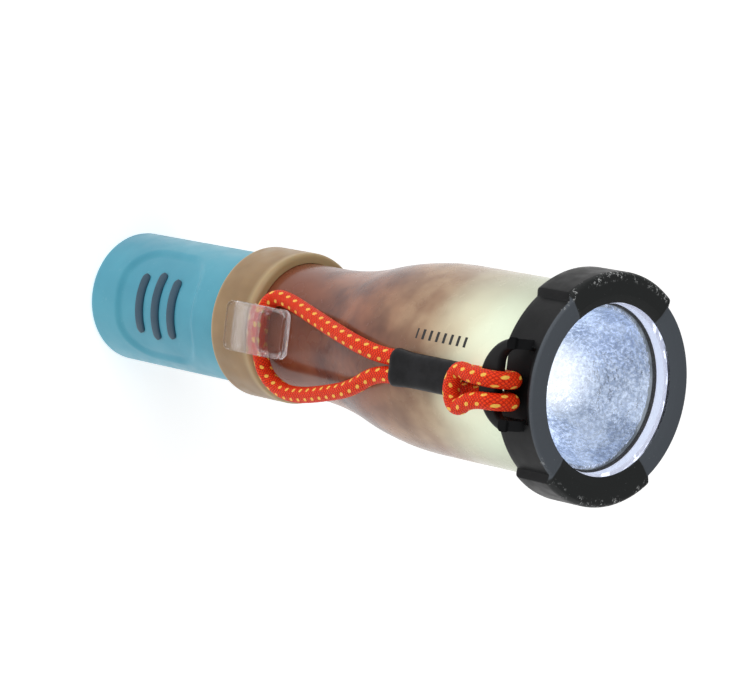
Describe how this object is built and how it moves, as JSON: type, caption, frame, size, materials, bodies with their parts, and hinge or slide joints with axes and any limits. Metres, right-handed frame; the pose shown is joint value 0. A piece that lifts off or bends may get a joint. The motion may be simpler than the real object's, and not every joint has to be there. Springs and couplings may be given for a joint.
{
  "type": "pocket lantern flashlight",
  "caption": "Palm-size flashlight and lantern with a flared translucent globe, bumper bezel, threaded battery housing, tail button and a looped elastic lanyard.",
  "frame": {"origin": "centre of the tail's resting face", "axes": "+Z from the tail towards the lens, lanyard lug and hook on the -Y side"},
  "size_m": [0.0418, 0.0453, 0.133],
  "materials": {
    "black_plastic": "satin moulded plastic",
    "frosted_globe": "translucent frosted plastic",
    "cream_plastic": "satin cream plastic",
    "blue_plastic": "satin blue plastic",
    "clear_plastic": "clear moulded plastic",
    "lens": "clear polished",
    "chrome": "vacuum-metallised mirror",
    "rubber": "black rubber",
    "circuit_board": "white solder mask",
    "green_board": "green solder mask",
    "led": "phosphor and clear dome",
    "steel": "plain steel",
    "brass": "nickel-free brass",
    "white_plastic": "white plastic",
    "cell_can": "steel can with a printed sleeve",
    "cord": "braided elastic with cream tracers",
    "heat_shrink": "shrunk tube",
    "ink": "dark teal moulding"
  },
  "bodies": {
    "tail": {"tail_housing": "blue_plastic", "thread_seal": "rubber", "switch_board": "green_board", "board_clamp": "black_plastic", "switch_body": "black_plastic", "tail_spring": "steel"},
    "button": {"tail_button": "black_plastic", "button_seal": "rubber", "switch_plunger": "white_plastic"},
    "pack": {"pack_frame": "black_plastic", "aaa_cell_1": "cell_can", "aaa_cell_2": "cell_can", "aaa_cell_3": "cell_can", "pack_plates": "brass", "pack_springs": "steel", "pack_contact": "brass"},
    "head": {"bezel_ring": "black_plastic", "front_lens": "lens", "lens_spacer": "chrome", "lens_seal": "rubber", "reflector": "chrome", "led_emitter": "led", "led_board": "circuit_board", "board_screws": "steel", "lantern_leds": "led", "led_tower": "white_plastic", "core_cup": "black_plastic", "driver_board": "green_board", "head_contact": "brass", "globe": "frosted_globe", "cord_hook": "clear_plastic", "collar_ring": "cream_plastic", "lanyard_loop": "cord", "lanyard_hitch": "cord", "lanyard_sleeve": "heat_shrink"}
  },
  "joints": [
    {"name": "pack_rise", "type": "slide", "parent": "tail", "child": "pack", "axis": [0, 0, 1], "range_m": [0, 0.006], "deforming": ["tail_spring"]},
    {"name": "head_turn", "type": "hinge", "parent": "pack", "child": "head", "pos_m": [0, 0, 0.066], "axis": [0, 0, 1], "range_deg": [0, 1081]},
    {"name": "button_press", "type": "slide", "parent": "tail", "child": "button", "axis": [0, 0, 1], "range_m": [0, 0.0014], "stiffness_N_per_m": 900}
  ],
  "couplings": [
    {"joint": "head_turn", "follows": "pack_rise", "rad_per_m": 3141.6}
  ]
}
